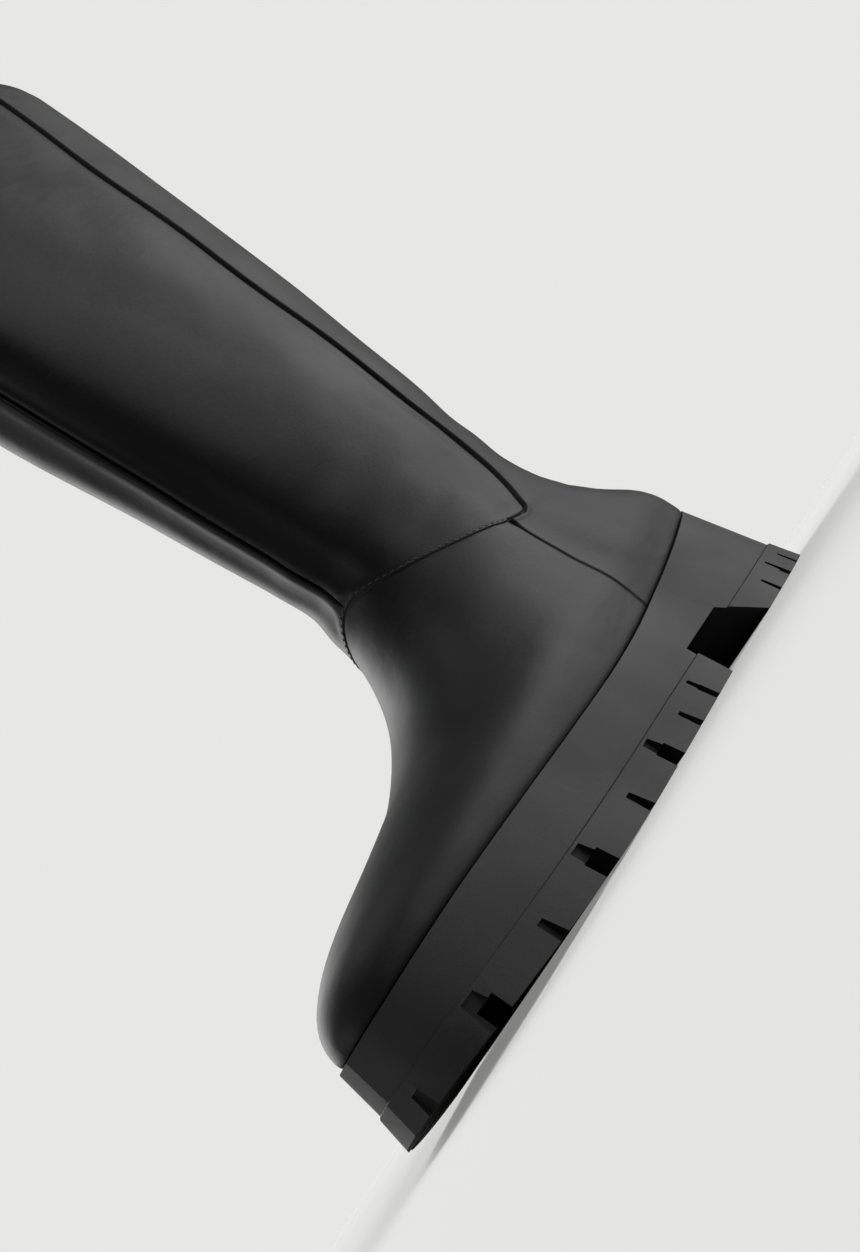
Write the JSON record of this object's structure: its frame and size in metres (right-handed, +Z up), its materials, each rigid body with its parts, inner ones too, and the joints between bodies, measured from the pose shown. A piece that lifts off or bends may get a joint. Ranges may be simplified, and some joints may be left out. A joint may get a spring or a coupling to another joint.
{
  "type": "tall boot",
  "caption": "Tall pull-on boot for the right foot: hollow smooth leather upper with a straight shaft on a thick, deeply lugged rubber sole.",
  "frame": {"origin": "on the floor, under the middle of the boot's bounding box", "axes": "the toe points to -Y, the inner (medial) side is +X, +Z is up along the shaft"},
  "size_m": [0.1032, 0.3144, 0.3633],
  "materials": {
    "rubber": "matte",
    "leather": "satin",
    "lining": "matte"
  },
  "bodies": {
    "root": {"outsole": "rubber", "upper": "leather", "insole": "lining"}
  },
  "joints": []
}
